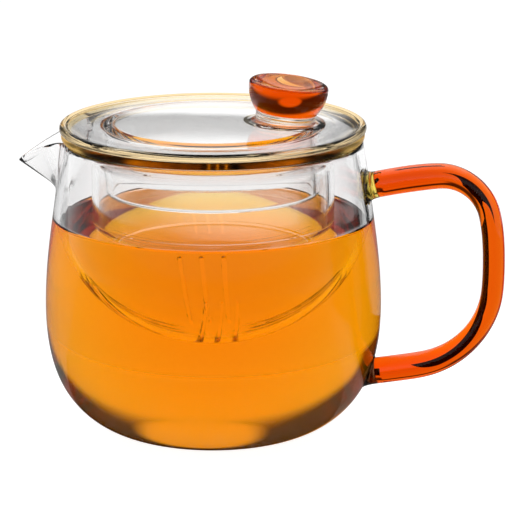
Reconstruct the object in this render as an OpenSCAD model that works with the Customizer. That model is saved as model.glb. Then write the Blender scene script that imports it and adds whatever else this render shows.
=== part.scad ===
// Glass teapot with a lift-out infuser cup and a lid.
// Origin: centre of the underside. +Z up, +X towards the handle, -X towards the spout. Millimetres.

/* [Pot] */
// Height of the pot's rim
pot_h = 93.5; // [92.5:0.5:94]
// Radius of the flat underside
base_r = 21.7; // [20:0.1:23]
// Radius of the round corner between the underside and the belly
corner_r = 29.6; // [28:0.1:31]
// Angle below level at which the corner runs into the belly
corner_end = 15.5; // [14:0.5:17]
// Upright radius of the belly
belly_r = 65; // [60:1:70]
// Upright radius of the shoulder above the belly
shoulder_r = 175; // [165:1:185]
// Inward lean of the wall below the rim, in degrees
lean = 7.8; // [7.4:0.1:8]
// Thickness of the pot's wall
wall = 2.3; // [2:0.1:2.6]

/* [Spout] */
// Distance of the spout's tip from the pot's axis
spout_reach = 62; // [60:0.5:64]
// Drop of the spout's tip below the rim
spout_drop = 8; // [6:0.5:9]
// Half the spout's width where it leaves the rim
spout_half_w = 14.5; // [13:0.5:16]
// Angle of each side of the spout's beak from its centre line
spout_angle = 48; // [44:1:52]
// Thickness of the spout's wall
spout_wall = 1.9; // [1.6:0.1:2.2]

/* [Handle] */
// Diameter of the handle's rod at its ends
rod_end_d = 8.3; // [7.6:0.1:8.6]
// Diameter of the handle's rod at the grip
rod_grip_d = 6.8; // [6.4:0.1:7.6]
// Distance of the upright grip from the pot's axis
grip_x = 88.4; // [86:0.1:91]
// Height at which the lower bend begins
grip_low_z = 52; // [50:0.5:54]
// Height of the short straight part of the grip
grip_h = 7; // [6:0.5:8]
// Radius of the lower bend
low_bend_r = 29; // [28:0.1:30]
// Radius of the slow curve above the grip
side_bend_r = 64; // [60:1:68]
// Radius of the tight upper bend
top_bend_r = 15.5; // [15:0.1:16]
// Radius of the slow curve along the top
top_run_r = 120; // [110:1:130]
// Diameter of a weld's foot on the pot
weld_foot_d = 11.4; // [10:0.1:12]

/* [Infuser] */
// Outer radius of the cup
cup_r = 37.8; // [37:0.1:38.2]
// Thickness of the cup's glass
cup_wall = 1.9; // [1.6:0.1:2.1]
// Height of the centre of the round bottom
cup_round_z = 69.6; // [68:0.1:71]
// Height at which the mouth begins to flare
cup_flare_z = 85; // [84.5:0.1:85.2]
// Outer radius of the flange
flange_r = 47.2; // [46.8:0.1:47.6]
// Thickness of the flange
flange_t = 2.2; // [2:0.1:2.4]
// Width of a drain slit
slit_w = 1; // [0.8:0.1:1.2]
// Distance between slits of one group
slit_pitch = 4.3; // [3.5:0.1:5]
// Number of groups of slits
slit_groups = 4; // [2:1:6]

/* [Lid] */
// Outer radius of the lid over its bead
lid_r = 47.8; // [47.4:0.1:48.4]
// Thickness of the lid's glass
lid_t = 2; // [1.8:0.1:2.2]
// Radius of the domed middle
dome_r = 39; // [38:0.5:40]
// Rise of the dome above the flat brim
dome_rise = 2.5; // [2:0.1:3]
// Outer radius of the skirt
skirt_r = 33.4; // [32.6:0.1:34]
// Thickness of the skirt
skirt_t = 2; // [1.8:0.1:2.4]
// Height of the skirt's lower edge
skirt_z = 77.5; // [76:0.5:80]

/* [Knob] */
// Distance of the knob's foot from the lid's centre
knob_x = 22.5; // [21:0.1:24]
// Outward tilt of the knob, in degrees
knob_tilt = 7; // [5:0.5:8]
// Radius of the clear neck
neck_r = 9.1; // [8.6:0.1:9.4]
// Radius of the knob's round rim
knob_r = 12.4; // [12:0.1:13]
// Height of the knob's rim above the lid, along the knob's axis
knob_h = 12.6; // [12:0.1:13]
// Depth of the hollow in the knob's top
dish_depth = 2.6; // [2:0.1:3]

/* [Hidden] */
$fn = 96;
gap = 0.2;

// Straight segments in an arc, by the kind of curve
steps = 12;
wall_steps = 6;
lip_side_steps = 5;
lip_tip_steps = 3;
slow_steps = 3;
flare_steps = 6;
cup_steps = 24;
dome_steps = 8;

clear_glass = [0.86, 0.90, 0.90, 0.45];
cup_glass = [0.90, 0.94, 0.95, 0.5];
amber_glass = [0.86, 0.36, 0.05, 0.9];

// Points of an arc about centre c, from angle a0 to angle a1
function arc(c, r, a0, a1, n = steps) =
    [for (i = [0:n]) let (a = a0 + (a1 - a0) * i / n) c + r * [cos(a), sin(a)]];

// The same points from last to first
function reversed(pts) = [for (i = [len(pts) - 1:-1:0]) pts[i]];

// Pot: a chain of tangent arcs, each centre found from the one below it
corner_c = [base_r, corner_r];
belly_c = corner_c + (corner_r - belly_r) * [cos(corner_end), -sin(corner_end)];
shoulder_c = belly_c - [shoulder_r - belly_r, 0];
lean_start = shoulder_c + shoulder_r * [cos(lean), sin(lean)];
rim_round = wall / 2;
rim_z = pot_h - rim_round;
function wall_x(z) = lean_start.x - (z - lean_start.y) * tan(lean);
rim_c = [wall_x(rim_z) - rim_round / cos(lean), rim_z];

// Outline of the pot from the axis to below the rim, moved inwards by inset
function pot_line(inset) = concat(
    [[0, inset]],
    arc(corner_c, corner_r - inset, -90, -corner_end),
    arc(belly_c, belly_r - inset, -corner_end, 0, wall_steps),
    arc(shoulder_c, shoulder_r - inset, 0, lean, wall_steps));

// Spout: a beak in plan, with a round tip and round shoulders, whose walls run down to a keel point
spout_tip_r = 1.6;
spout_tip_r_min = 0.3;
spout_shoulder_r = 7;
spout_throat_run = 3;
spout_throat_x = -41;
spout_fall_x = -47;
spout_fall_power = 1.4;
spout_rim_inset = 0.2;
spout_rim_z = pot_h - spout_rim_inset;
keel = [-45.5, 76];
keel_raise = 2.2;
spout_lift = 8;
spout_cap = 0.01;
core_lift = 1;
channel_throat_x = -38;

// Handle: centres of its tangent arcs, in the XZ plane
low_sweep = 80;
side_sweep = 12;
top_end = 96;
run_end = 105;
low_run = 12.7;
rod_sides = 16;
rod_slim_x = 62;
low_c = [grip_x - low_bend_r, grip_low_z];
side_c = [grip_x - side_bend_r, grip_low_z + grip_h];
top_c = side_c + (side_bend_r - top_bend_r) * [cos(side_sweep), sin(side_sweep)];
run_c = top_c + (top_bend_r - top_run_r) * [cos(top_end), sin(top_end)];
low_end = low_c + low_bend_r * [cos(low_sweep), -sin(low_sweep)];
lower_end = low_end - low_run * [sin(low_sweep), cos(low_sweep)];
upper_end = run_c + top_run_r * [cos(run_end), sin(run_end)];
weld_depth = 5;

// Infuser
flare_r = 5;
flare_turn = 48;
flange_z = pot_h + gap;
flange_round = flange_t / 2;
flare_slope = tan(90 - flare_turn);
flare_c = [cup_r + flare_r, cup_flare_z];
slit_low_z = 34.5;
slit_high_z = 50;
slit_inner_r = 5;
slit_turn = 15;

// Lid
lid_z = flange_z + flange_t + gap;
lid_top = lid_z + lid_t;
bead_r = 1.25;
bead_end = 180 - asin(lid_t / bead_r - 1);
dome_ball = (pow(dome_r, 2) + pow(dome_rise, 2)) / (2 * dome_rise);
dome_c = [0, lid_top + dome_rise - dome_ball];
dome_edge = acos(dome_r / dome_ball);

// Knob, along its own axis from the lid's surface
knob_foot = [knob_x, 0, dome_c.y + sqrt(pow(dome_ball, 2) - pow(knob_x, 2))];
neck_flare = 3;
neck_z = 1.8;
joint_z = 3.4;
joint_r = 9.7;
knob_rim = 1.3;
bowl_top = knob_h - knob_rim;
bowl_h = bowl_top - joint_z;
bowl_grow = knob_r - joint_r;
bowl_r = (pow(bowl_grow, 2) + pow(bowl_h, 2)) / (2 * bowl_grow);
bowl_start = asin(bowl_h / bowl_r);
knob_rim_turn = 120;
dish_margin = 2.2;
dish_edge_rise = 0.91;
dish_r = knob_r - dish_margin;
dish_edge_z = bowl_top + dish_edge_rise;
dish_sag = dish_edge_z - knob_h + dish_depth;
dish_ball = (pow(dish_r, 2) + pow(dish_sag, 2)) / (2 * dish_sag);
dish_turn = asin(dish_r / dish_ball);

module pot_solid() {
    rotate_extrude()
        polygon(concat(pot_line(0), [[wall_x(pot_h), pot_h], [0, pot_h]]));
}

module pot_shell() {
    rotate_extrude()
        polygon(concat(pot_line(0), arc(rim_c, rim_round, lean, 180 + lean), reversed(pot_line(wall))));
}

// Height of the spout's edge at distance -x from the pot's axis
function lip_z(x) =
    let (u = max(0, (spout_fall_x - x) / (spout_fall_x + spout_reach)))
    spout_rim_z - spout_drop * pow(u, spout_fall_power);

// One side of the beak in plan, from the throat to the tip, moved inwards by inset
function lip_side(inset, throat_x) =
    let (tip_r = max(spout_tip_r - inset, spout_tip_r_min),
         shoulder_r = spout_shoulder_r - inset,
         half_w = spout_half_w - inset,
         tip = [-spout_reach + inset + tip_r, 0],
         side = tip_r * [-sin(spout_angle), cos(spout_angle)],
         run = (half_w - shoulder_r + shoulder_r * cos(spout_angle) - side.y) / sin(spout_angle),
         join = tip + side + run * [cos(spout_angle), sin(spout_angle)],
         shoulder = join + shoulder_r * [sin(spout_angle), -cos(spout_angle)])
    concat([[throat_x, half_w], [spout_fall_x + spout_throat_run, half_w]],
           arc(shoulder, shoulder_r, 90, 90 + spout_angle, lip_side_steps),
           arc(tip, tip_r, 90 + spout_angle, 180, lip_tip_steps));

// The whole beak edge from one throat point round the tip to the other
function lip(inset, throat_x) =
    let (side = [for (p = lip_side(inset, throat_x)) [p.x, p.y, lip_z(p.x)]])
    concat(side, [for (i = [len(side) - 2:-1:0]) [side[i].x, -side[i].y, side[i].z]]);

// A solid that fans from the keel point up to the lip's edge and is closed at height lift above it
module beak(inset, throat_x, keel_point, lift) {
    low = lip(inset, throat_x);
    n = len(low);
    points = concat(low, [for (p = low) p + [0, 0, lift]],
                    [keel_point, [throat_x, 0, spout_rim_z + lift]]);
    fan = [for (i = [0:n - 2]) [2 * n, i, i + 1]];
    wall_low = [for (i = [0:n - 2]) [i + 1, i, n + i]];
    wall_high = [for (i = [0:n - 2]) [i + 1, n + i, n + i + 1]];
    top = [for (i = [0:n - 2]) [2 * n + 1, n + i + 1, n + i]];
    back = [[2 * n, n - 1, 2 * n + 1], [2 * n, 2 * n + 1, 0],
            [n - 1, 2 * n - 1, 2 * n + 1], [0, 2 * n + 1, n]];
    polyhedron(points, concat(fan, wall_low, wall_high, top, back));
}

module pot_body() {
    color(clear_glass)
        difference() {
            union() {
                pot_shell();
                difference() {
                    beak(0, spout_throat_x, [keel.x, 0, keel.y], spout_cap);
                    pot_core();
                }
            }
            beak(spout_wall, channel_throat_x, [keel.x, 0, keel.y + keel_raise], spout_lift);
        }
}

// Everything inside the middle of the pot's wall
module pot_core() {
    rotate_extrude()
        polygon(concat(
            pot_line(rim_round),
            [[rim_c.x, rim_z], [rim_c.x, pot_h + core_lift], [0, pot_h + core_lift]]));
}

// Stations of the handle's centre line: x, z and the angle of its normal
function bend(c, r, a0, a1, n) =
    [for (i = [1:n]) let (a = a0 + (a1 - a0) * i / n) [c.x + r * cos(a), c.y + r * sin(a), a]];

handle_line = concat(
    [[lower_end.x, lower_end.y, -low_sweep], [low_end.x, low_end.y, -low_sweep]],
    bend(low_c, low_bend_r, -low_sweep, 0, steps),
    [[grip_x, side_c.y, 0]],
    bend(side_c, side_bend_r, 0, side_sweep, slow_steps),
    bend(top_c, top_bend_r, side_sweep, top_end, steps),
    bend(run_c, top_run_r, top_end, run_end, slow_steps));

// Diameter of the rod at distance x from the pot's axis
function rod_d(x) =
    let (t = max(0, min(1, (x - rod_slim_x) / (grip_x - rod_slim_x))))
    rod_end_d + (rod_grip_d - rod_end_d) * t * t * (3 - 2 * t);

module handle() {
    rings = len(handle_line);
    points = [for (s = handle_line, j = [0:rod_sides - 1])
        let (r = rod_d(s.x) / 2, t = 360 * j / rod_sides)
        [s.x + r * cos(t) * cos(s.z), r * sin(t), s.y + r * cos(t) * sin(s.z)]];
    sides = [for (i = [0:rings - 2], j = [0:rod_sides - 1])
        let (k = (j + 1) % rod_sides)
        [i * rod_sides + j, i * rod_sides + k, (i + 1) * rod_sides + k, (i + 1) * rod_sides + j]];
    first = [for (j = [rod_sides - 1:-1:0]) j];
    last = [for (j = [0:rod_sides - 1]) (rings - 1) * rod_sides + j];
    color(amber_glass)
        polyhedron(points, concat(sides, [first, last]));
}

// Clear foot between the end of the rod and the pot's wall
module weld(end, tilt) {
    color(clear_glass)
        difference() {
            translate([end.x, 0, end.y])
                rotate([0, tilt - 90, 0])
                    cylinder(d1 = rod_end_d, d2 = weld_foot_d, h = weld_depth);
            pot_solid();
        }
}

module handle_upper_weld() {
    weld(upper_end, 90 - run_end);
}

module handle_lower_weld() {
    weld(lower_end, low_sweep - 90);
}

module infuser_cup() {
    color(cup_glass)
        difference() {
            rotate_extrude()
                polygon(cup_outline());
            for (g = [0:slit_groups - 1], side = [-1:1])
                rotate([0, 0, slit_turn + g * 360 / slit_groups])
                    translate([slit_inner_r, side * slit_pitch - slit_w / 2, slit_low_z])
                        cube([cup_r, slit_w, slit_high_z - slit_low_z]);
        }
}

// Outline of the infuser: outside from the bottom up, round the flange, and down the inside
function cup_outline() =
    let (outer = arc(flare_c, flare_r, 180, 180 - flare_turn, flare_steps),
         inner = arc(flare_c, flare_r + cup_wall, 180, 180 - flare_turn, flare_steps),
         outer_end = outer[flare_steps],
         inner_end = inner[flare_steps],
         outer_top = outer_end + (flange_z - outer_end.y) * [1 / flare_slope, 1],
         inner_top = inner_end + (flange_z + flange_t - inner_end.y) * [1 / flare_slope, 1],
         tip = [flange_r - flange_round, flange_z + flange_round])
    concat(arc([0, cup_round_z], cup_r, -90, 0, cup_steps), outer, [outer_top],
           arc(tip, flange_round, -90, 90), [inner_top],
           reversed(inner), reversed(arc([0, cup_round_z], cup_r - cup_wall, -90, 0, cup_steps)));

module lid_disc() {
    color(clear_glass)
        rotate_extrude()
            polygon(concat(
                arc(dome_c, dome_ball, 90, dome_edge, dome_steps),
                reversed(arc([lid_r - bead_r, lid_z + bead_r], bead_r, -90, bead_end)),
                reversed(arc(dome_c, dome_ball - lid_t, 90, dome_edge, dome_steps))));
}

module lid_skirt() {
    color(clear_glass)
        difference() {
            rotate_extrude()
                union() {
                    translate([skirt_r - skirt_t / 2, skirt_z + skirt_t / 2])
                        circle(d = skirt_t);
                    translate([skirt_r - skirt_t, skirt_z + skirt_t / 2])
                        square([skirt_t, lid_top - skirt_z - skirt_t]);
                }
            lid_disc();
        }
}

// Places a shape on the lid along the knob's tilted axis
module on_knob_axis() {
    translate(knob_foot)
        rotate([0, knob_tilt, 0])
            children();
}

module knob_stem() {
    color(clear_glass)
        difference() {
            on_knob_axis()
                rotate_extrude()
                    polygon(concat(
                        [[0, neck_z - neck_flare]],
                        arc([neck_r + neck_flare, neck_z], neck_flare, 270, 180),
                        [[joint_r, joint_z], [0, joint_z]]));
            lid_disc();
        }
}

module lid_knob() {
    color(amber_glass)
        on_knob_axis()
            rotate_extrude()
                polygon(concat(
                    [[0, joint_z]],
                    arc([knob_r - bowl_r, bowl_top], bowl_r, -bowl_start, 0),
                    arc([knob_r - knob_rim, bowl_top], knob_rim, 0, knob_rim_turn),
                    arc([0, dish_edge_z - dish_sag + dish_ball], dish_ball, dish_turn - 90, -90)));
}

pot_body();
handle_upper_weld();
handle_lower_weld();
handle();
infuser_cup();
lid_disc();
lid_skirt();
knob_stem();
lid_knob();
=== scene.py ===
import math

import bpy
import numpy as np
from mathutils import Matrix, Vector


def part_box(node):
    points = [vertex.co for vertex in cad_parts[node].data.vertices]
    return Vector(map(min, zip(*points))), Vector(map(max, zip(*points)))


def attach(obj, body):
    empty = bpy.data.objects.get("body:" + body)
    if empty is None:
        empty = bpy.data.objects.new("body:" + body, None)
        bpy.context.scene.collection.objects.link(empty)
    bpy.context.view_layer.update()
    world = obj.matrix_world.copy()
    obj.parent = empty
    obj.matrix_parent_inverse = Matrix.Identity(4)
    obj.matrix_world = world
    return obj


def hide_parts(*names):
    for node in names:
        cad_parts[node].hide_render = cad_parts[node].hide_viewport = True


# A glass teapot with its infuser, its lid and tea in it, in a bright studio

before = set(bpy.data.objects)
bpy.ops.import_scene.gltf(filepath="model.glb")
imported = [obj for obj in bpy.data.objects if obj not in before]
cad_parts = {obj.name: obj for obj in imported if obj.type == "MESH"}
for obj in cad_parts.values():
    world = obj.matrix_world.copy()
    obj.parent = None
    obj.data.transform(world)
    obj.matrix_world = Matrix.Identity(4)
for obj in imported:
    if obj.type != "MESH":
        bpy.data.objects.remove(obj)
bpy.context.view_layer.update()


def unit(a):
    """The unit vector at angle a."""
    return np.array([math.cos(a), math.sin(a)])


# Sizes of the object are in millimetres, those of the studio round it are in metres
MM = 0.001
SKIN = 0.12                 # how far a liquid or a weld reaches into the glass it wets

# Pot: the same chain of tangent arcs as the CAD model
RIM_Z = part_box("pot_body")[1].z / MM
BASE_R = 21.7
CORNER_R = 29.6
CORNER_END = math.radians(15.5)
BELLY_R = 65.0
SHOULDER_R = 175.0
LEAN = math.radians(7.8)
WALL = 2.3
PUNT_RISE = 0.7             # the underside is domed in by this
FLOOR_RISE = 1.2            # and the floor inside by this
LINE_STEP = 1.2             # distance of points along the outline
LINE_EASE = 4.5             # length over which its arcs blend
CORNER_C = np.array([BASE_R, CORNER_R])
BELLY_C = CORNER_C + (CORNER_R - BELLY_R) * unit(-CORNER_END)
SHOULDER_C = BELLY_C - np.array([SHOULDER_R - BELLY_R, 0])
LEAN_START = SHOULDER_C + SHOULDER_R * unit(LEAN)

# Spout
SPOUT_REACH = 62.0
SPOUT_DROP = 8.0
SPOUT_HALF_W = 14.3
SPOUT_ANGLE = math.radians(48)
SPOUT_ROOT_Z = 73.0
SPOUT_FILLET = 0.5          # part of the lip's height over which it bends out of the wall
SPOUT_TIP_R = 1.8           # radii of its edge in plan, from the tip to the rim
SPOUT_SHOULDER_R = 7.0
SPOUT_THROAT_R = 4.0
SPOUT_FALL_X = 47.0         # from here the rim falls towards the tip
SPOUT_FALL_POWER = 1.4
SPOUT_SPAN = 30             # degrees to each side over which the lip's root rises to the rim
SPOUT_ROOT_LIFT = 0.75      # part of the way to the rim that it rises
SPOUT_ROOT_POWER = 1.5
SPOUT_FINE_SPAN = 34        # degrees to each side with finer columns of points
SPOUT_FINE_STEP = 0.75
FAR_COLUMNS = 120           # columns round the rest of the pot

# Tea
TEA_Z = 68.6
MENISCUS_H = 0.9
MENISCUS_REACH = 3.84       # how far it reaches from the wall
MENISCUS_FALL = 0.84        # distance in which it falls by a factor e


def arc(centre, radius, a0, a1, n):
    """n + 1 points of an arc, angles in radians."""
    a = np.linspace(a0, a1, n + 1)
    return np.array(centre) + radius * np.column_stack([np.cos(a), np.sin(a)])


def ease(points, step, reach):
    """The same line at even steps, its turns spread over reach so that no arc meets the next with a jump."""
    points = np.asarray(points, float)
    run = np.concatenate([[0], np.cumsum(np.hypot(*np.diff(points, axis=0).T))])
    s = np.linspace(0, run[-1], int(run[-1] / step) + 1)
    even = np.column_stack([np.interp(s, run, points[:, 0]), np.interp(s, run, points[:, 1])])
    d = np.diff(even, axis=0)
    angle = np.unwrap(np.arctan2(d[:, 1], d[:, 0]))
    pad = int(3 * reach / step)
    kernel = np.exp(-0.5 * (np.arange(-pad, pad + 1) * step / reach) ** 2)
    angle = np.convolve(np.pad(angle, pad, mode="edge"), kernel / kernel.sum(), mode="valid")
    length = np.hypot(d[:, 0], d[:, 1])[:, None]
    steps = length * np.column_stack([np.cos(angle), np.sin(angle)])
    out = even[0] + np.vstack([[0, 0], np.cumsum(steps, axis=0)])
    return out + np.linspace(0, 1, len(out))[:, None] * (even[-1] - out[-1])


def wall_x(z):
    """Radius of the pot's leaning outer wall at height z."""
    return LEAN_START[0] - (z - LEAN_START[1]) * math.tan(LEAN)


def pot_line(inset, z_top, n=60):
    """Outline of the pot from the edge of its flat base up to z_top, moved inwards by inset."""
    corner = arc(CORNER_C, CORNER_R - inset, -math.pi / 2, -CORNER_END, 2 * n)
    belly = arc(BELLY_C, BELLY_R - inset, -CORNER_END, 0, n)
    shoulder = arc(SHOULDER_C, SHOULDER_R - inset, 0, LEAN, n)
    start = shoulder[-1]
    z = np.linspace(start[1], z_top, n + 1)
    lean = np.column_stack([start[0] - (z - start[1]) * math.tan(LEAN), z])
    return ease(np.vstack([corner, belly[1:], shoulder[1:], lean[1:]]), LINE_STEP, LINE_EASE)


def base_dome(z, rise):
    """Points from the axis almost to the edge of the flat base, over a low dome that stands on height z."""
    return [(r, z + rise * (1 - (r / BASE_R) ** 2) ** 2) for r in np.linspace(0, BASE_R, 9)[:-1]]


OUTER_LINE = pot_line(0, RIM_Z)


def outer_r(z):
    """Outer radius of the pot at height z, above its base corner."""
    return np.interp(z, OUTER_LINE[:, 1], OUTER_LINE[:, 0])


def place(name, data):
    """A new object in the scene."""
    ob = bpy.data.objects.new(name, data)
    bpy.context.scene.collection.objects.link(ob)
    return ob


def new_object(name, verts, faces):
    """A smooth-shaded mesh object from points in millimetres."""
    mesh = bpy.data.meshes.new(name)
    mesh.from_pydata([tuple(v) for v in np.asarray(verts) * MM], [], faces)
    mesh.validate()
    face_outwards(mesh)
    mesh.shade_smooth()
    return place(name, mesh)


def face_outwards(mesh):
    """Turns the faces of a closed mesh outwards."""
    mesh.calc_loop_triangles()
    co = np.array([v.co for v in mesh.vertices])
    tri = co[np.array([t.vertices for t in mesh.loop_triangles])]
    if np.einsum("ij,ij->i", tri[:, 0], np.cross(tri[:, 1], tri[:, 2])).sum() < 0:
        mesh.flip_normals()
    mesh.update()


def skin_grid(name, grid, first_pole, last_pole):
    """Closed skin over grid[line][point], closed round the lines, with a point at each end of the lines."""
    lines, count = grid.shape[:2]
    verts = list(grid.reshape(-1, 3)) + [np.array(first_pole), np.array(last_pole)]
    a, b = lines * count, lines * count + 1
    faces = []
    for i in range(lines):
        j = (i + 1) % lines
        faces.append((a, j * count, i * count))
        faces.append((b, i * count + count - 1, j * count + count - 1))
        for k in range(count - 1):
            faces.append((i * count + k, j * count + k, j * count + k + 1, i * count + k + 1))
    return new_object(name, verts, faces)


def revolve(name, profile, angles=None):
    """Turns a profile that starts and ends on the axis round +Z. Profile runs up the outside first."""
    profile = np.asarray(profile, float)
    angles = np.linspace(0, 2 * math.pi, 193)[:-1] if angles is None else angles
    inner = profile[1:-1]
    grid = np.array([[(r * math.cos(a), r * math.sin(a), z) for r, z in inner] for a in angles])
    return skin_grid(name, grid, (0, 0, profile[0][1]), (0, 0, profile[-1][1]))


# ---------------------------------------------------------------- pot with its pulled lip

def lip_edge():
    """Half of the lip's edge in plan: beak, shoulder and throat. Also the angle where it meets the rim."""
    tip_r, shoulder_r, throat_r = SPOUT_TIP_R, SPOUT_SHOULDER_R, SPOUT_THROAT_R
    tip = np.array([SPOUT_REACH - tip_r, 0.0])
    s, c = math.sin(SPOUT_ANGLE), math.cos(SPOUT_ANGLE)
    run = (SPOUT_HALF_W - shoulder_r + shoulder_r * c - tip_r * c) / s
    join = tip + tip_r * np.array([s, c]) + run * np.array([-c, s])
    shoulder = join - shoulder_r * np.array([s, c])
    rim_r = wall_x(RIM_Z - WALL / 2)
    throat_y = SPOUT_HALF_W + throat_r
    throat = np.array([math.sqrt((rim_r + throat_r) ** 2 - throat_y ** 2), throat_y])
    land = math.atan2(throat[1], throat[0])
    pts = np.vstack([
        arc(tip, tip_r, 0, math.pi / 2 - SPOUT_ANGLE, 6),
        arc(shoulder, shoulder_r, math.pi / 2 - SPOUT_ANGLE, math.pi / 2, 10),
        arc(throat, throat_r, -math.pi / 2, land - math.pi, 10)])
    spans = [np.linspace(a, b, 8, endpoint=False) for a, b in zip(pts[:-1], pts[1:])]
    return np.vstack(spans + [pts[-1:]]), land


def spout_shift(phi, edge, land):
    """(outward shift of the rim, drop of the rim) at angle phi from the spout's centre line."""
    if abs(phi) >= land:
        return 0.0, 0.0
    angles = np.arctan2(edge[:, 1], edge[:, 0])
    out = np.interp(abs(phi), angles, np.hypot(edge[:, 0], edge[:, 1])) - wall_x(RIM_Z - WALL / 2)
    x = np.interp(abs(phi), angles, edge[:, 0])
    fall = max(0.0, (x - SPOUT_FALL_X) / (SPOUT_REACH - SPOUT_FALL_X))
    return max(out, 0.0), SPOUT_DROP * fall ** SPOUT_FALL_POWER


def pot_body():
    """The blown pot: its section turned round the axis, and pushed outwards and down into the lip."""
    top = RIM_Z - WALL / 2
    rim_c = np.array([wall_x(top) - WALL / 2 / math.cos(LEAN), top])
    outer = pot_line(0, top)
    cap = arc(rim_c, WALL / 2, LEAN, math.pi + LEAN, 12)[1:-1]
    inner = pot_line(WALL, top)[::-1]
    profile = np.vstack([base_dome(0, PUNT_RISE), outer, cap, inner, base_dome(WALL, FLOOR_RISE)[::-1]])
    near = np.arange(-SPOUT_FINE_SPAN, SPOUT_FINE_SPAN + 0.01, SPOUT_FINE_STEP)
    far = np.linspace(SPOUT_FINE_SPAN, 360 - SPOUT_FINE_SPAN, FAR_COLUMNS + 2)[1:-1]
    edge, land = lip_edge()
    grid = []
    for phi in np.radians(np.concatenate([near, far])):
        wrapped = (phi + math.pi) % (2 * math.pi) - math.pi
        out, drop = spout_shift(wrapped, edge, land)
        spread = min(1.0, abs(wrapped) / math.radians(SPOUT_SPAN))
        root = SPOUT_ROOT_Z + (top - SPOUT_ROOT_Z) * SPOUT_ROOT_LIFT * spread ** SPOUT_ROOT_POWER
        line = []
        for r, z in profile[1:-1]:
            t = min(1.0, max(0.0, (z - root) / (top - root)))
            bend = t * t / (2 * SPOUT_FILLET) if t < SPOUT_FILLET else t - SPOUT_FILLET / 2
            x, y = -(r + out * bend / (1 - SPOUT_FILLET / 2)) * unit(phi)
            line.append((x, y, z - drop * t))
        grid.append(line)
    return skin_grid("pot_glass", np.array(grid), (0, 0, profile[0][1]), (0, 0, profile[-1][1]))


def tea():
    """The tea: fills the pot up to its level, with a small meniscus at the wall."""
    line = pot_line(WALL - SKIN, TEA_Z + MENISCUS_H)
    line = line[line[:, 1] < TEA_Z + MENISCUS_H]
    edge_r = line[-1][0]
    # its rings stand closer together near the wall
    away = np.linspace(0.1, 1, 8) ** 1.4 * MENISCUS_REACH
    top = [(edge_r - d, TEA_Z + MENISCUS_H * math.exp(-d / MENISCUS_FALL)) for d in away]
    flat = [(r, TEA_Z) for r in np.linspace(top[-1][0] - 1, 0, 16)]
    return revolve("tea", np.vstack([base_dome(WALL - SKIN, FLOOR_RISE), line, top, flat]))


# ---------------------------------------------------------------- handle and its welds

ROD_END_D = 8.3
ROD_GRIP_D = 6.8
ROD_SLIM_X = 62.0           # from here to the grip the rod gets slimmer
ROD_SIDES = 48
GRIP_X = 88.4
GRIP_Z = 52.0
LOW_RUN = 12.7              # straight piece at the lower weld
ROD_START = -80             # angle of its normal, in degrees
# Then, from below to above: straight run before an arc, its radius, the angle at its end, its steps
ROD_ARCS = [(0.0, 29.0, 0, 50), (7.0, 64.0, 12, 12), (0.0, 15.5, 96, 50), (0.0, 120.0, 105, 12)]
UPPER_FOOT_R = 5.7          # radius of the upper weld on the wall
LOWER_FOOT_R = 5.2
FOOT_CURVE = 2.2            # how its side curves out to the foot: 2 is a quarter of an ellipse
FAR_ENOUGH = 12.0           # the wall is nearer than this to the rod's ends


def handle_line():
    """Centre line of the rod from the lower weld to the upper one: x, z and the angle of its normal."""
    angle, last_r = math.radians(ROD_START), ROD_ARCS[0][1]
    centre = np.array([GRIP_X - last_r, GRIP_Z])
    start, along = centre + last_r * unit(angle), unit(angle + math.pi / 2)
    rows = [(*(start - along * d), angle) for d in np.linspace(LOW_RUN, 0, 10)[:-1]]
    for run, r, end, steps in ROD_ARCS:
        centre = centre + (last_r - r) * unit(angle) + run * unit(angle + math.pi / 2)
        rows += [(*(centre + r * unit(t)), t) for t in np.linspace(angle, math.radians(end), steps + 1)[:-1]]
        angle, last_r = math.radians(end), r
    rows.append((*(centre + last_r * unit(angle)), angle))
    rows = np.array(rows)
    # ease the joints between the arcs, as a rod bent in the flame would be
    for _ in range(30):
        rows[1:-1] = (rows[:-2] + 2 * rows[1:-1] + rows[2:]) / 4
    return rows


def rod_r(x):
    """Radius of the rod at distance x from the pot's axis."""
    t = min(1.0, max(0.0, (x - ROD_SLIM_X) / (GRIP_X - ROD_SLIM_X)))
    return (ROD_END_D + (ROD_GRIP_D - ROD_END_D) * t * t * (3 - 2 * t)) / 2


def handle(line):
    """The amber rod along its centre line."""
    grid = []
    for t in np.linspace(0, 2 * math.pi, ROD_SIDES + 1)[:-1]:
        row = []
        for x, z, a in line:
            out, side = rod_r(x) * unit(t)
            row.append((x + out * math.cos(a), side, z + out * math.sin(a)))
        grid.append(row)
    first, last = line[0], line[-1]
    return skin_grid("handle_rod", np.array(grid)[::-1], (first[0], 0, first[1]), (last[0], 0, last[1]))


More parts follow.
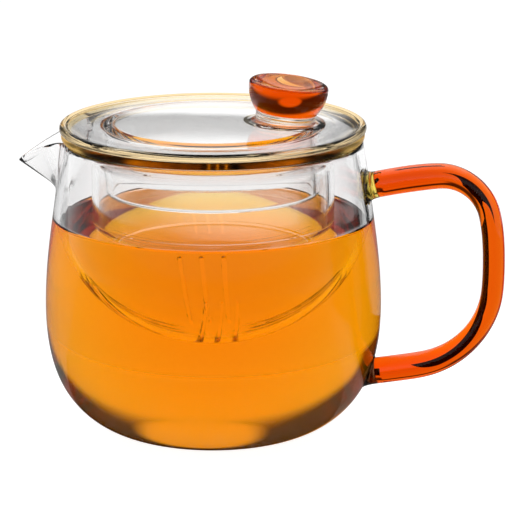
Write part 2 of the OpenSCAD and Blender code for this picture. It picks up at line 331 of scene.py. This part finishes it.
def weld(name, end, way, foot_r):
    """Clear gather from an end of the rod's line to the wall. way is 1 at its upper end, -1 at its lower."""
    x, z, a = end
    away = way * np.array([-math.sin(a), 0, math.cos(a)])
    side = np.array([0.0, 1.0, 0.0])
    up = np.cross(away, side)
    centre = np.array([x, 0, z])
    rod = rod_r(x)

    def landing(point):
        """How far the wall is from point along away, measured to SKIN below its surface."""
        lo, hi = 0.0, FAR_ENOUGH
        for _ in range(30):
            mid = (lo + hi) / 2
            p = point + away * mid
            if math.hypot(p[0], p[1]) > outer_r(p[2]) - SKIN:
                lo = mid
            else:
                hi = mid
        return lo

    grid = []
    for t in np.linspace(0, 2 * math.pi, ROD_SIDES + 1)[:-1]:
        ray = side * math.cos(t) + up * math.sin(t)
        row = [centre - away * SKIN + ray * rod * f for f in (0.3, 0.6, 0.85, 0.97)]
        foot = landing(centre + ray * foot_r)
        for s in np.linspace(0, 1, 12):
            r = rod + (foot_r - rod) * (1 - math.sqrt(1 - s ** FOOT_CURVE))
            row.append(centre + away * foot * s + ray * r)
        for f in (0.8, 0.6, 0.4, 0.2):
            p = centre + ray * foot_r * f
            row.append(p + away * landing(p))
        grid.append(row)
    return skin_grid(name, np.array(grid), centre - away * SKIN, centre + away * landing(centre))


# ---------------------------------------------------------------- infuser

CUP_R = 37.8
CUP_WALL = 1.9
CUP_Z = 69.6
FLARE_Z = 85.0
FLARE_R = 5.0
FLARE_TURN = math.radians(48)
FLANGE_R = 47.2
FLANGE_T = 2.2
UNDER_ROUND = 0.8           # how far the flange's corners are rounded, under it
UPPER_ROUND = 1.2           # and on top, where it runs into the cup
GAP = 0.2                   # between pieces that rest on each other
SLIT_GROUPS = 4
SLIT_TURN = 15              # angle of the first group from +X, in degrees
SLIT_W = 1.0
SLIT_PITCH = 4.3
SLIT_LOW = 34.5
SLIT_HIGH = 50.0
SLIT_REACH = (5.0, 45.0)    # the saw cuts from inside the cup to outside it


def infuser():
    """The cup with its round bottom, flare and flange, and its slits."""
    flange_z = RIM_Z + GAP
    flare_c = np.array([CUP_R + FLARE_R, FLARE_Z])
    slope = 1 / math.tan(math.pi / 2 - FLARE_TURN)
    bottom = arc((0, CUP_Z), CUP_R, -math.pi / 2, 0, 48)
    hollow = arc((0, CUP_Z), CUP_R - CUP_WALL, -math.pi / 2, 0, 48)[::-1]
    out = arc(flare_c, FLARE_R, math.pi, math.pi - FLARE_TURN, 10)
    inn = arc(flare_c, FLARE_R + CUP_WALL, math.pi, math.pi - FLARE_TURN, 10)
    out_top = out[-1] + (flange_z - out[-1][1]) * np.array([slope, 1])
    inn_top = inn[-1] + (flange_z + FLANGE_T - inn[-1][1]) * np.array([slope, 1])
    half = FLANGE_T / 2
    edge = arc((FLANGE_R - half, flange_z + half), half, -math.pi / 2, math.pi / 2, 12)
    outline = np.vstack([out, round_corner(out[-1], out_top, edge[0], UNDER_ROUND), edge,
                         round_corner(edge[-1], inn_top, inn[-1], UPPER_ROUND), inn[::-1]])
    ob = revolve("infuser_glass", np.vstack([bottom, outline, hollow]))
    cut_slits(ob)
    return ob


def round_corner(a, b, c, size, n=6):
    """Points of a smooth turn at corner b between a and c, reaching size along both sides."""
    a, b, c = map(np.asarray, (a, b, c))
    p = b + (a - b) / np.linalg.norm(a - b) * size
    q = b + (c - b) / np.linalg.norm(c - b) * size
    t = np.linspace(0, 1, n + 1)[:, None]
    return (1 - t) ** 2 * p + 2 * t * (1 - t) * b + t ** 2 * q


def cut_slits(ob):
    """Groups of three sawn slits through the round bottom."""
    half = SLIT_W / 2
    ring = np.vstack([arc((0, SLIT_HIGH - half), half, 0, math.pi, 6),
                      arc((0, SLIT_LOW + half), half, math.pi, 2 * math.pi, 6)])
    n = len(ring)
    verts, faces = [], []
    for group in range(SLIT_GROUPS):
        c, s = unit(math.radians(SLIT_TURN) + 2 * math.pi * group / SLIT_GROUPS)
        for side in (-1, 0, 1):
            base = len(verts)
            for x in SLIT_REACH:
                verts += [(x * c - (y + side * SLIT_PITCH) * s, x * s + (y + side * SLIT_PITCH) * c, z)
                          for y, z in ring]
            faces.append([base + i for i in range(n)][::-1])
            faces.append([base + n + i for i in range(n)])
            faces += [(base + i, base + (i + 1) % n, base + n + (i + 1) % n, base + n + i) for i in range(n)]
    cutter = new_object("slit_cutter", verts, faces)
    mod = ob.modifiers.new("slits", "BOOLEAN")
    mod.operation = "DIFFERENCE"
    mod.solver = "EXACT"
    mod.object = cutter
    apply_modifiers(ob)
    bpy.data.objects.remove(cutter)


def apply_modifiers(ob):
    """Makes the mesh what its modifiers show."""
    dg = bpy.context.evaluated_depsgraph_get()
    mesh = bpy.data.meshes.new_from_object(ob.evaluated_get(dg))
    ob.modifiers.clear()
    ob.data = mesh


# ---------------------------------------------------------------- lid

LID_Z = RIM_Z + GAP + FLANGE_T + GAP
LID_T = 2.0
LID_R = 47.8
BEAD_R = 1.25
BRIM_R = LID_R - 2 * BEAD_R - 0.2       # where the bead meets the top of the disc
DOME_R = 39.0
DOME_RISE = 2.5
SKIRT_R = 33.4
SKIRT_T = 2.0
SKIRT_Z = 77.5
SKIRT_FOOT_H = 1.5          # its straight sides start this far above its foot
BRIM_ROUND = 0.8            # how far the corner at the bead is rounded
FILLET_GAP = 1.4            # the straight sides end this far from the disc
FILLET_REACH = 1.3          # and the fillets there reach this far from the corner
DOME_BALL = (DOME_R ** 2 + DOME_RISE ** 2) / (2 * DOME_RISE)
DOME_Z = LID_Z + LID_T + DOME_RISE - DOME_BALL


def dome_z(r):
    """Height of the lid's upper surface at radius r."""
    return max(LID_Z + LID_T, DOME_Z + math.sqrt(DOME_BALL ** 2 - r * r))


def lid():
    """Disc, bead and skirt as the one piece of glass that the weld makes of them."""
    def under(r):
        """Height of the dome's lower surface at radius r."""
        return DOME_Z + math.sqrt((DOME_BALL - LID_T) ** 2 - r * r)

    top = [(r, dome_z(r)) for r in np.linspace(DOME_R, 0, 20)]
    bead_end = math.pi - math.asin(LID_T / BEAD_R - 1)
    bead = arc((LID_R - BEAD_R, LID_Z + BEAD_R), BEAD_R, -math.pi / 2, bead_end, 16)
    brim_turn = round_corner(bead[-1], (BRIM_R, LID_Z + LID_T), top[0], BRIM_ROUND)
    skirt_in = SKIRT_R - SKIRT_T
    foot = arc((SKIRT_R - SKIRT_T / 2, SKIRT_Z + SKIRT_T / 2), SKIRT_T / 2, -math.pi, 0, 10)
    low = SKIRT_Z + SKIRT_FOOT_H
    wall_in = [(skirt_in, z) for z in np.linspace(under(skirt_in) - FILLET_GAP, low, 8)]
    wall_out = [(SKIRT_R, z) for z in np.linspace(low, under(SKIRT_R) - FILLET_GAP, 8)]
    inside = [(r, under(r)) for r in np.linspace(0, skirt_in - FILLET_GAP, 14)]
    outside = [(r, max(LID_Z, under(r))) for r in np.linspace(SKIRT_R + FILLET_GAP, DOME_R, 5)]
    inner_corner = round_corner(inside[-1], (skirt_in, under(skirt_in)), wall_in[0], FILLET_REACH)
    outer_corner = round_corner(wall_out[-1], (SKIRT_R, under(SKIRT_R)), outside[0], FILLET_REACH)
    return revolve("lid_glass", np.vstack([inside, inner_corner, wall_in, foot, wall_out, outer_corner,
                                           outside, bead, brim_turn, top]))


KNOB_X = 22.5               # its place on the dome, on the handle's side
KNOB_TILT = math.radians(7)
NECK_R = 9.1                # slimmest place of the stem
NECK_Z = 1.8
NECK_RINGS = (2.8, 2.3)     # heights of the points between the joint and the neck
STEM_FOOT_R = 12.7
JOINT_R = 9.7               # where the clear stem meets the amber knob
JOINT_Z = 3.4
KNOB_R = 12.4
KNOB_H = 12.6
KNOB_RIM = 1.3              # radius of its round rim
RIM_TURN = math.radians(120)
DISH_DEPTH = 2.6


def tilt_knob(points):
    """From the knob's own axis to the pot's frame."""
    p = np.asarray(points, float)
    c, s = math.cos(KNOB_TILT), math.sin(KNOB_TILT)
    foot = np.array([KNOB_X, 0, dome_z(KNOB_X)])
    return np.column_stack([p[:, 0] * c + p[:, 2] * s, p[:, 1], -p[:, 0] * s + p[:, 2] * c]) + foot


def knob_stem():
    """Clear foot under the knob, whose flare runs out onto the dome."""
    def ground(x, y):
        """Height of the dome at this place on the knob's own base plane, SKIN below its surface."""
        flat = tilt_knob([(x, y, 0)])[0]
        return (dome_z(math.hypot(flat[0], flat[1])) - SKIN - flat[2]) / math.cos(KNOB_TILT)

    flare = arc((0, 0), 1.0, math.pi, 1.5 * math.pi, 12)
    grid = []
    for a in np.linspace(0, 2 * math.pi, 97)[:-1]:
        ray = unit(a)
        row = [(*(ray * JOINT_R * f), JOINT_Z + SKIN) for f in (0.3, 0.6, 0.9)]
        row.append((*(ray * JOINT_R), JOINT_Z))
        for z in NECK_RINGS:
            rise = (z - NECK_Z) / (JOINT_Z - NECK_Z)
            row.append((*(ray * (NECK_R + (JOINT_R - NECK_R) * rise ** 2)), z))
        for fx, fz in flare:
            x, y = ray * (STEM_FOOT_R + fx * (STEM_FOOT_R - NECK_R))
            row.append((x, y, NECK_Z + fz * (NECK_Z - ground(x, y))))
        for f in (0.75, 0.5, 0.25):
            x, y = ray * STEM_FOOT_R * f
            row.append((x, y, ground(x, y)))
        grid.append(tilt_knob(row))
    top = tilt_knob([(0, 0, JOINT_Z + SKIN)])[0]
    low = tilt_knob([(0, 0, -SKIN)])[0]
    return skin_grid("knob_stem_glass", np.array(grid)[::-1], top, low)


def knob():
    """The solid amber knob: a bowl with a round rim and a dished top, tilted on its stem."""
    bowl_top = KNOB_H - KNOB_RIM
    grow = KNOB_R - JOINT_R
    rise = bowl_top - JOINT_Z
    bowl_r = (grow ** 2 + rise ** 2) / (2 * grow)
    bowl = arc((KNOB_R - bowl_r, bowl_top), bowl_r, -math.asin(rise / bowl_r), 0, 16)
    rim = arc((KNOB_R - KNOB_RIM, bowl_top), KNOB_RIM, 0, RIM_TURN, 10)[1:]
    dish_r, dish_z = rim[-1]
    sag = dish_z - (KNOB_H - DISH_DEPTH)
    dish = [(r, dish_z - sag * (1 - (r / dish_r) ** 2)) for r in np.linspace(dish_r, 0, 14)[1:]]
    base = [(r, JOINT_Z) for r in np.linspace(0, JOINT_R, 6)[:-1]]
    ob = revolve("knob_amber", np.vstack([base, bowl, rim, dish]), np.linspace(0, 2 * math.pi, 129)[:-1])
    co = np.array([v.co for v in ob.data.vertices]) / MM
    ob.data.vertices.foreach_set("co", (tilt_knob(co) * MM).ravel())
    ob.data.update()
    return ob


# ---------------------------------------------------------------- materials

FILM_SCALE = 90.0           # the thin film of handling on the glass, patches to the metre
FILM_RANGE = (0.45, 0.75)   # part of the noise over which it goes from clean to smeared
GLASS_IOR = 1.47
AMBER_IOR = 1.50
TEA_IOR = 1.333
WET_IOR = 1.13              # glass in tea bends light only by about the ratio of the two
RIM_GLOW_R = 45.0           # beyond this radius the rims of lid and infuser look golden, a painted glow of the tea in their clear glass
# The fillets of the lid's skirt have their own glass from this far under the disc's underside to this far
# over it, and this far to the sides of the skirt's walls
FILLET_UNDER, FILLET_OVER, FILLET_SIDE = 1.5, 0.9, 1.5


def fill(node, values):
    """Sets a node's inputs, by name or number."""
    for key, value in values.items():
        node.inputs[key].default_value = value
    return node


def add(nt, kind, values=None, operation=None):
    """A new shader node with these input values."""
    node = nt.nodes.new("ShaderNode" + kind)
    if operation:
        node.operation = operation
    return fill(node, values or {})


def new_material(name):
    """A new material and its node tree."""
    mat = bpy.data.materials.new(name)
    mat.use_nodes = True
    return mat, mat.node_tree


def glass(name, ior, absorb=None, density=0, sheen=1.0, tint=(1, 1, 1), rough=(0.0, 0.012),
          ripple=0.02, ripple_scale=60.0):
    """Clear or coloured glass: light is absorbed inside, the flame-polished skin is slightly wavy."""
    mat, nt = new_material(name)
    nt.nodes.clear()
    out = add(nt, "OutputMaterial")
    bsdf = add(nt, "BsdfPrincipled", {"Transmission Weight": 1.0, "IOR": ior, "Base Color": (*tint, 1),
                                      "Specular Tint": (sheen, sheen, sheen, 1)})
    coord = add(nt, "TexCoord")
    film = add(nt, "TexNoise", {"Scale": FILM_SCALE, "Detail": 4.0})
    smear = add(nt, "MapRange", {"From Min": FILM_RANGE[0], "From Max": FILM_RANGE[1],
                                 "To Min": rough[0], "To Max": rough[1]})
    wave = add(nt, "TexNoise", {"Scale": ripple_scale, "Detail": 1.0})
    bump = add(nt, "Bump", {"Strength": ripple, "Distance": MM})
    nt.links.new(coord.outputs["Object"], film.inputs["Vector"])
    nt.links.new(film.outputs["Fac"], smear.inputs["Value"])
    nt.links.new(smear.outputs["Result"], bsdf.inputs["Roughness"])
    nt.links.new(coord.outputs["Object"], wave.inputs["Vector"])
    nt.links.new(wave.outputs["Fac"], bump.inputs["Height"])
    nt.links.new(bump.outputs["Normal"], bsdf.inputs["Normal"])
    nt.links.new(bsdf.outputs["BSDF"], out.inputs["Surface"])
    if density:
        inside = add(nt, "VolumeAbsorption", {"Color": (*absorb, 1), "Density": density})
        nt.links.new(inside.outputs["Volume"], out.inputs["Volume"])
    return mat


def put(ob, mat, body, slot, *nodes):
    """Gives a piece its material, body and the CAD nodes that it stands for. Its finish slot, slot, is not
    used.
    """
    ob.data.materials.clear()
    ob.data.materials.append(mat)
    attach(ob, body)
    if nodes:
        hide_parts(*nodes)
    return ob


def split_glass(ob, others, pick):
    """Adds more materials to a piece. pick(r, z) says which of them a face has, by its radius and height."""
    for mat in others:
        ob.data.materials.append(mat)
    for poly in ob.data.polygons:
        poly.material_index = pick(math.hypot(poly.center.x, poly.center.y) / MM, poly.center.z / MM)


def cup_part(r, z):
    """0 for the cup's clear glass, 1 where it is under the tea, 2 on its flange."""
    if z < TEA_Z:
        return 1
    return 2 if r > RIM_GLOW_R else 0


def lid_part(r, z):
    """0 for the lid's clear glass, 1 on its rim, 2 on the fillets where the skirt meets the disc."""
    if r > RIM_GLOW_R:
        return 1
    from_skirt = min(abs(r - SKIRT_R), abs(r - SKIRT_R + SKIRT_T))
    return 2 if LID_Z - FILLET_UNDER < z < LID_Z + FILLET_OVER and from_skirt < FILLET_SIDE else 0


CLEAR = glass("clear_glass", GLASS_IOR, (0.60, 0.61, 0.61), 45.0, sheen=0.12, tint=(0.972, 0.970, 0.970))
TEA = glass("brewed_tea", TEA_IOR, (1.0, 0.836, 0.0), 85.0, sheen=0.05, rough=(0, 0), ripple=0.0)
AMBER = glass("amber_glass", AMBER_IOR, (0.955, 0.620, 0.0), 900.0, sheen=0.4)
KNOB = glass("amber_knob_glass", AMBER_IOR, (0.96, 0.67, 0.0), 350.0, sheen=0.12)
WELD = glass("weld_glass", GLASS_IOR, (0.93, 0.80, 0.0), 260.0, sheen=0.6)
DARK_WELD = glass("dark_weld_glass", GLASS_IOR, (0.50, 0.25, 0.0), 500.0, sheen=0.3)
CUP = glass("infuser_clear_glass", GLASS_IOR, sheen=0.5, tint=(0.96, 0.96, 0.96))
WET = glass("infuser_wet_glass", WET_IOR, tint=(0.95, 0.95, 0.95))
LID = glass("lid_clear_glass", GLASS_IOR, sheen=0.4, tint=(0.99, 0.988, 0.985),
            ripple=0.10, ripple_scale=35.0)
# Rims and fillets bend light less than glass does, which keeps their edges from turning black. The golden
# tint of the rims is painted: it stands for the glow of the tea that shows in their clear glass
FLANGE_TEA_GLOW = glass("infuser_rim_painted_glow", 1.10, sheen=0.3, tint=(1.0, 0.67, 0.22), rough=(0.35, 0.45))
RIM_TEA_GLOW = glass("lid_rim_painted_glow", 1.12, sheen=0.3, tint=(1.0, 0.77, 0.44), rough=(0.08, 0.14))
FILLET = glass("lid_fillet_glass", 1.15, sheen=0.4, tint=(0.975, 0.975, 0.975))

rod = handle_line()
put(pot_body(), CLEAR, "pot", "pot_glass", "pot_body")
put(tea(), TEA, "pot", "pot_glass")
put(handle(rod), AMBER, "pot", "amber_glass", "handle")
put(weld("upper_weld_glass", rod[-1], 1, UPPER_FOOT_R), WELD, "pot", "pot_glass", "handle_upper_weld")
put(weld("lower_weld_glass", rod[0], -1, LOWER_FOOT_R), DARK_WELD, "pot", "pot_glass", "handle_lower_weld")
cup = put(infuser(), CUP, "infuser", "infuser_glass", "infuser_cup")
split_glass(cup, (WET, FLANGE_TEA_GLOW), cup_part)
plate = put(lid(), LID, "lid", "lid_glass", "lid_disc", "lid_skirt")
split_glass(plate, (RIM_TEA_GLOW, FILLET), lid_part)
put(knob_stem(), LID, "lid", "lid_glass", "knob_stem")
put(knob(), KNOB, "lid", "amber_glass", "lid_knob")


# ---------------------------------------------------------------- stage

WALL_Y = 0.42                   # the wall behind the pot, with painted pools of light
WALL_HALF_W = 0.55
WALL_FADE = 0.40                # beyond this it thins out to nothing at its ends
WALL_LOW = -0.02                # under the floor, so that no gap shows between them
WALL_TOP = 0.24
# Painted pools of light on it: middle x and z, half width, half height, and the parts of these where it
# starts and ends to fade
POOLS = [(-0.07, 0.0, 0.47, 0.105, 0.85, 1.35), (-0.06, 0.135, 0.088, 0.046, 0.70, 1.22)]
POOL_STRENGTH = 1.12
POOL_ROUND = 0.10               # strength of the wall round them

# The black card behind the handle is painted shade, which the handle shows as dark bands. It follows the
# handle's bow: y, and x and z along the outer and the inner edge
SHADE_CARD_Y = 0.056
SHADE_CARD_OUTER = [(0.056, 0.004), (0.080, 0.004), (0.130, 0.004), (0.130, 0.035), (0.130, 0.062), (0.103, 0.064),
              (0.088, 0.084), (0.076, 0.082), (0.062, 0.062)]
SHADE_CARD_INNER = [(0.056, 0.024), (0.074, 0.023), (0.086, 0.023), (0.098, 0.033), (0.099, 0.050), (0.096, 0.062),
              (0.089, 0.069), (0.083, 0.068), (0.070, 0.054)]
GREY_SHADE_CARD = [(0.130, 0.056), (0.300, 0.020)]    # x and y of the grey card that goes on from it, more painted shade
GREY_SHADE_CARD_Z = (0.004, 0.062)

FLOOR_HALF_W = 6.0
FLOOR_Z = -0.0003
# The floor's glow is painted light: a pool behind the pot that fades far off, and one close to the pot that
# fills in the pot's shadow. Their centres, and the distances and strengths of their lobes
PAINTED_FLOOR_GLOW = [((0, 0.3, 0), (0.5, 1.3, 0.64, 0.10)), ((0.03, 0, 0), (0.06, 0.20, 0.30, 0.0))]
# Dark cards that the glass mirrors in place of the floor: name, y from and to, and how grey
TABLE_HALF_W = 0.60
TABLE_Z = -0.0001
TABLE_CARDS = [("table_card_front", -0.60, 0.0, 0.01), ("table_card_back", 0.0, 0.60, 0.28)]

# Lobes of the studio's light, by how far a direction points up or ahead, towards +Y
SOFTBOX_UP = (0.31, 0.42, 0.0, 1.0)
SOFTBOX_AHEAD = (-0.4, 0.7, 0.15, 1.1)
LOW_WALL_UP = (0.30, 0.50, 1.0, 0.0)
LOW_WALL_BEHIND = (-0.25, 0.10, 0.75, 0.0)
FILL_LIGHT = 0.12               # light from every side
TOP_SIZE = 1.2                  # the square softbox over the pot
TOP_POWER = 4
TOP_PLACE = (0, 0.3, 1.1)


def lobe(nt, value, start, end, low, high):
    """Soft step from low to high as value goes from start to end."""
    step = add(nt, "MapRange", {"From Min": start, "From Max": end, "To Min": low, "To Max": high})
    step.interpolation_type = "SMOOTHSTEP"
    nt.links.new(value, step.inputs["Value"])
    return step.outputs["Result"]


def floor_material():
    """White floor with a painted glow: it glows by itself round the pot, where it fills in the pot's shadow,
    and fades away from it.
    """
    mat, nt = new_material("painted_glow_floor")
    bsdf = fill(nt.nodes["Principled BSDF"], {"Base Color": (0.50, 0.50, 0.50, 1), "Roughness": 0.9,
                                              "Specular IOR Level": 0.1, "Emission Color": (1, 1, 1, 1)})
    coord = add(nt, "TexCoord")
    glow = add(nt, "Math", operation="ADD")
    for i, (centre, steps) in enumerate(PAINTED_FLOOR_GLOW):
        away = add(nt, "VectorMath", {1: centre}, "DISTANCE")
        nt.links.new(coord.outputs["Object"], away.inputs[0])
        nt.links.new(lobe(nt, away.outputs["Value"], *steps), glow.inputs[i])
    nt.links.new(glow.outputs["Value"], bsdf.inputs["Emission Strength"])
    return mat


def painted_light_wall_material():
    """Painted pools of light on the wall behind the pot, higher in its middle. Its ends thin out to nothing.
    """
    mat, nt = new_material("painted_light_wall")
    nt.nodes.clear()
    coord = add(nt, "TexCoord")
    both = add(nt, "Math", operation="MAXIMUM")
    for i, (x, z, half_w, half_h, full, gone) in enumerate(POOLS):
        shift = add(nt, "VectorMath", {1: (x, WALL_Y, z)}, "SUBTRACT")
        scale = add(nt, "VectorMath", {1: (1 / half_w, 1, 1 / half_h)}, "MULTIPLY")
        size = add(nt, "VectorMath", operation="LENGTH")
        nt.links.new(coord.outputs["Object"], shift.inputs[0])
        nt.links.new(shift.outputs["Vector"], scale.inputs[0])
        nt.links.new(scale.outputs["Vector"], size.inputs[0])
        nt.links.new(lobe(nt, size.outputs["Value"], full, gone, POOL_STRENGTH, POOL_ROUND), both.inputs[i])
    glow = add(nt, "Emission")
    nt.links.new(both.outputs["Value"], glow.inputs["Strength"])

    split = add(nt, "SeparateXYZ")
    sideways = add(nt, "Math", operation="ABSOLUTE")
    clear = add(nt, "BsdfTransparent")
    mix = add(nt, "MixShader")
    out = add(nt, "OutputMaterial")
    nt.links.new(coord.outputs["Object"], split.inputs["Vector"])
    nt.links.new(split.outputs["X"], sideways.inputs[0])
    nt.links.new(lobe(nt, sideways.outputs["Value"], WALL_FADE, WALL_HALF_W, 0.0, 1.0), mix.inputs[0])
    nt.links.new(glow.outputs["Emission"], mix.inputs[1])
    nt.links.new(clear.outputs["BSDF"], mix.inputs[2])
    nt.links.new(mix.outputs["Shader"], out.inputs["Surface"])
    return mat


def matt(name, grey):
    """A plain grey that mirrors nothing."""
    mat, nt = new_material(name)
    fill(nt.nodes["Principled BSDF"], {"Base Color": (grey, grey, grey, 1), "Roughness": 1.0,
                                       "Specular IOR Level": 0.0})
    return mat


def sheet(name, verts, faces, material):
    """A flat piece of the stage."""
    mesh = bpy.data.meshes.new(name)
    mesh.from_pydata(verts, [], faces)
    mesh.materials.append(material)
    ob = place(name, mesh)
    return ob


def card(name, verts, faces, material, glossy_only=False):
    """A card that is seen only in or through the glass and lights nothing."""
    ob = sheet(name, verts, faces, material)
    ob.visible_camera = ob.visible_diffuse = ob.visible_shadow = False
    ob.visible_transmission = not glossy_only


def level(half_w, near, far, z):
    """Corners and face of a level rectangle."""
    return [(-half_w, near, z), (half_w, near, z), (half_w, far, z), (-half_w, far, z)], [(0, 1, 2, 3)]


def upright(feet, low, high):
    """Corners and faces of an upright card over the line of feet."""
    verts = [(x, y, z) for x, y in feet for z in (low, high)]
    return verts, [(2 * i, 2 * i + 2, 2 * i + 3, 2 * i + 1) for i in range(len(feet) - 1)]


def studio_light():
    """Light of the studio: a softbox overhead that is brighter ahead, and pale walls behind the camera."""
    world = bpy.data.worlds.new("studio")
    bpy.context.scene.world = world
    world.use_nodes = True
    nt = world.node_tree
    sky = fill(nt.nodes["Background"], {"Color": (1, 1, 1, 1)})
    coord = add(nt, "TexCoord")
    split = add(nt, "SeparateXYZ")
    nt.links.new(coord.outputs["Generated"], split.inputs["Vector"])
    walls = add(nt, "Math", {2: FILL_LIGHT}, "MULTIPLY_ADD")
    nt.links.new(lobe(nt, split.outputs["Z"], *LOW_WALL_UP), walls.inputs[0])
    nt.links.new(lobe(nt, split.outputs["Y"], *LOW_WALL_BEHIND), walls.inputs[1])
    total = add(nt, "Math", operation="MULTIPLY_ADD")
    nt.links.new(lobe(nt, split.outputs["Z"], *SOFTBOX_UP), total.inputs[0])
    nt.links.new(lobe(nt, split.outputs["Y"], *SOFTBOX_AHEAD), total.inputs[1])
    nt.links.new(walls.outputs["Value"], total.inputs[2])
    nt.links.new(total.outputs["Value"], sky.inputs["Strength"])

    top = bpy.data.lights.new("top_softbox", "AREA")
    top.shape = "RECTANGLE"
    top.size = top.size_y = TOP_SIZE
    top.energy = TOP_POWER
    ob = place("top_softbox", top)
    ob.location = TOP_PLACE
    ob.visible_camera = False


def stage():
    """The floor, and the cards that stand round the pot, as they do round glass in a studio. The black and
    grey cards behind the handle are painted shade; the glow of the floor and of the wall is painted light.
    """
    floor = sheet("floor", *level(FLOOR_HALF_W, -FLOOR_HALF_W, FLOOR_HALF_W, 0), floor_material())
    floor.location.z = FLOOR_Z
    wall_feet = [(-WALL_HALF_W, WALL_Y), (WALL_HALF_W, WALL_Y)]
    card("painted_light_wall", *upright(wall_feet, WALL_LOW, WALL_TOP), painted_light_wall_material())
    # painted shade: black and grey cards behind the handle, which it shows as dark bands
    n = len(SHADE_CARD_OUTER)
    card("black_shade_card", [(x, SHADE_CARD_Y, z) for x, z in SHADE_CARD_OUTER + SHADE_CARD_INNER],
         [(i, i + 1, n + i + 1, n + i) for i in range(n - 1)], matt("matt_black", 0.01))
    card("grey_shade_card", *upright(GREY_SHADE_CARD, *GREY_SHADE_CARD_Z), matt("matt_grey", 0.12))
    for name, near, far, grey in TABLE_CARDS:
        card(name, *level(TABLE_HALF_W, near, far, TABLE_Z), matt(name, grey), glossy_only=True)


def camera():
    """The camera of the product shot: a long lens, a little above the pot and turned to its right."""
    azimuth, elevation, distance = math.radians(10), math.radians(14.1), 1.15
    aim = Vector((0.0144, 0.0025, 0.0546))
    back = Vector((math.sin(azimuth) * math.cos(elevation),
                   -math.cos(azimuth) * math.cos(elevation), math.sin(elevation)))
    cam = bpy.data.cameras.new("camera")
    cam.sensor_width = 36
    cam.lens = 254
    cam.clip_start, cam.clip_end = 0.05, 50
    ob = place("camera", cam)
    ob.location = aim + back * distance
    ob.rotation_euler = (-back).to_track_quat("-Z", "Y").to_euler()
    bpy.context.scene.camera = ob


stage()
studio_light()
camera()
scene = bpy.context.scene
scene.view_settings.view_transform = "Standard"
scene.cycles.max_bounces = 32
scene.cycles.transmission_bounces = 32
scene.cycles.glossy_bounces = 8
scene.cycles.transparent_max_bounces = 16
